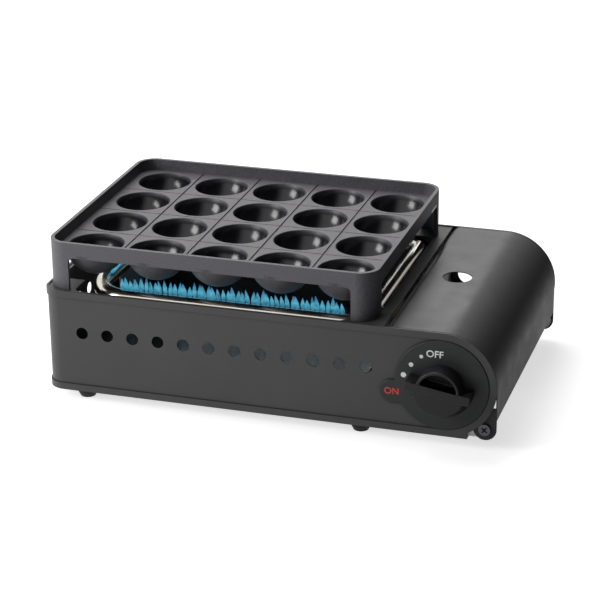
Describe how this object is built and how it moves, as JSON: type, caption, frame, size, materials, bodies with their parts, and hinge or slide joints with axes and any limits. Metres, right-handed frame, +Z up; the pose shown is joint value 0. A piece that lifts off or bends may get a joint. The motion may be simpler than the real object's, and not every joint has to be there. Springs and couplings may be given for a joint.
{
  "type": "takoyaki maker",
  "caption": "Table-top gas takoyaki grill: a cast plate of round bowls over a tube burner in a sheet-steel body with a hinged canister cover.",
  "frame": {"origin": "middle of the object's box, on the surface that the feet stand on", "axes": "+X to the canister end, +Y to the back, +Z up; the knob faces -Y"},
  "size_m": [0.3642, 0.2422, 0.131],
  "materials": {
    "cast_plate": "dark non-stick coating on a grained casting",
    "body_paint": "satin charcoal paint",
    "cover_paint": "satin charcoal paint",
    "zinc_sheet": "zinc-coated sheet",
    "bright_sheet": "bright sheet",
    "burner_steel": "polished stainless tube",
    "ceramic": "glazed ceramic",
    "steel_rod": "plated steel",
    "zinc_casting": "die casting",
    "seal_rubber": "soft rubber",
    "magnet_black": "black moulding",
    "brass": "turned brass",
    "copper": "copper pipe",
    "igniter_plastic": "moulded plastic",
    "lead_sleeve": "silicone sleeve",
    "dial_plastic": "printed plastic plate",
    "knob_plastic": "black moulded plastic",
    "foot_rubber": "black rubber"
  },
  "bodies": {
    "body": {"body_shell": "body_paint", "base_pan": "body_paint", "top_frame": "body_paint", "partition": "zinc_sheet", "heat_panel": "zinc_sheet", "drip_tray": "bright_sheet", "burner_tube": "burner_steel", "mixing_tube": "burner_steel", "burner_bracket_left": "zinc_sheet", "burner_bracket_right": "zinc_sheet", "electrode_insulator": "ceramic", "spark_electrode": "steel_rod", "valve_body": "zinc_casting", "nozzle_seal": "seal_rubber", "magnet_ring": "magnet_black", "valve_posts": "steel_rod", "regulator_body": "zinc_casting", "regulator_diaphragm": "seal_rubber", "regulator_cap": "zinc_casting", "gas_pipe": "copper", "gas_nozzle": "brass", "piezo_igniter": "igniter_plastic", "ignition_lead": "lead_sleeve", "canister_guide": "zinc_sheet", "hinge_bracket_front": "zinc_sheet", "hinge_screw_front": "steel_rod", "hinge_bracket_rear": "zinc_sheet", "hinge_screw_rear": "steel_rod", "cover_catch": "magnet_black", "dial_plate": "dial_plastic", "foot_front_left": "foot_rubber", "foot_rear_left": "foot_rubber", "foot_front_right": "foot_rubber", "foot_rear_right": "foot_rubber", "foot_screws": "steel_rod"},
    "plate": {"takoyaki_plate": "cast_plate"},
    "cover": {"canister_cover": "cover_paint"},
    "knob": {"control_knob": "knob_plastic", "valve_spindle": "steel_rod"},
    "needle": {"valve_needle": "brass"}
  },
  "joints": [
    {"name": "knob_turn", "type": "hinge", "parent": "body", "child": "knob", "pos_m": [0.14005, -0.1115, 0.051], "axis": [0, 1, 0], "range_deg": [-15, 80]},
    {"name": "needle_travel", "type": "slide", "parent": "body", "child": "needle", "axis": [0, 1, 0], "range_m": [-0.0004, 0.0021]},
    {"name": "cover_hinge", "type": "hinge", "parent": "body", "child": "cover", "pos_m": [0.17305, 0.0085, 0.018], "axis": [0, 1, 0], "range_deg": [0, 90]},
    {"name": "plate_lift", "type": "slide", "parent": "body", "child": "plate", "axis": [0, 0, 1], "range_m": [0, 0.08]}
  ],
  "couplings": [
    {"joint": "needle_travel", "follows": "knob_turn", "m_per_rad": 0.0014}
  ]
}
